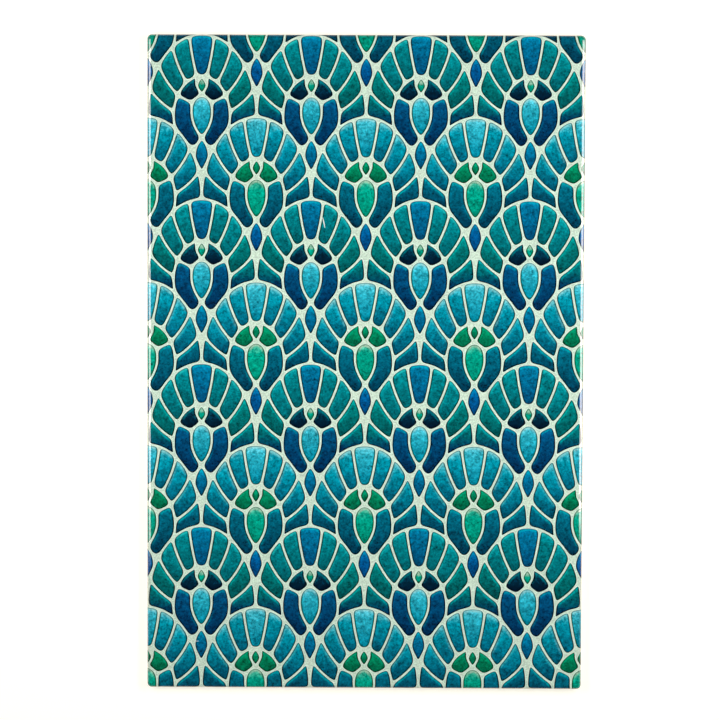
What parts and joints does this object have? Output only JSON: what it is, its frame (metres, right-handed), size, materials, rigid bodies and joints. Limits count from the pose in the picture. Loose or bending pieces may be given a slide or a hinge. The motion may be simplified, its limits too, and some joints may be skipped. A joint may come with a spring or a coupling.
{
  "type": "decorative ceramic tile",
  "caption": "Rectangular glazed ceramic wall tile, smooth printed face with eased edges and a waffle-keyed back.",
  "frame": {"origin": "middle of the back plane, which the tile lies on", "axes": "+Z out of the glazed face, +Y along the tile's length towards its top edge as hung, +X across its width"},
  "size_m": [0.2, 0.3, 0.007],
  "materials": {
    "glazed_tile": "gloss glaze over a printed pattern on the face and its eased edges, bare white-cream ceramic on the sides and back"
  },
  "bodies": {
    "root": {"tile": "glazed_tile"}
  },
  "joints": []
}
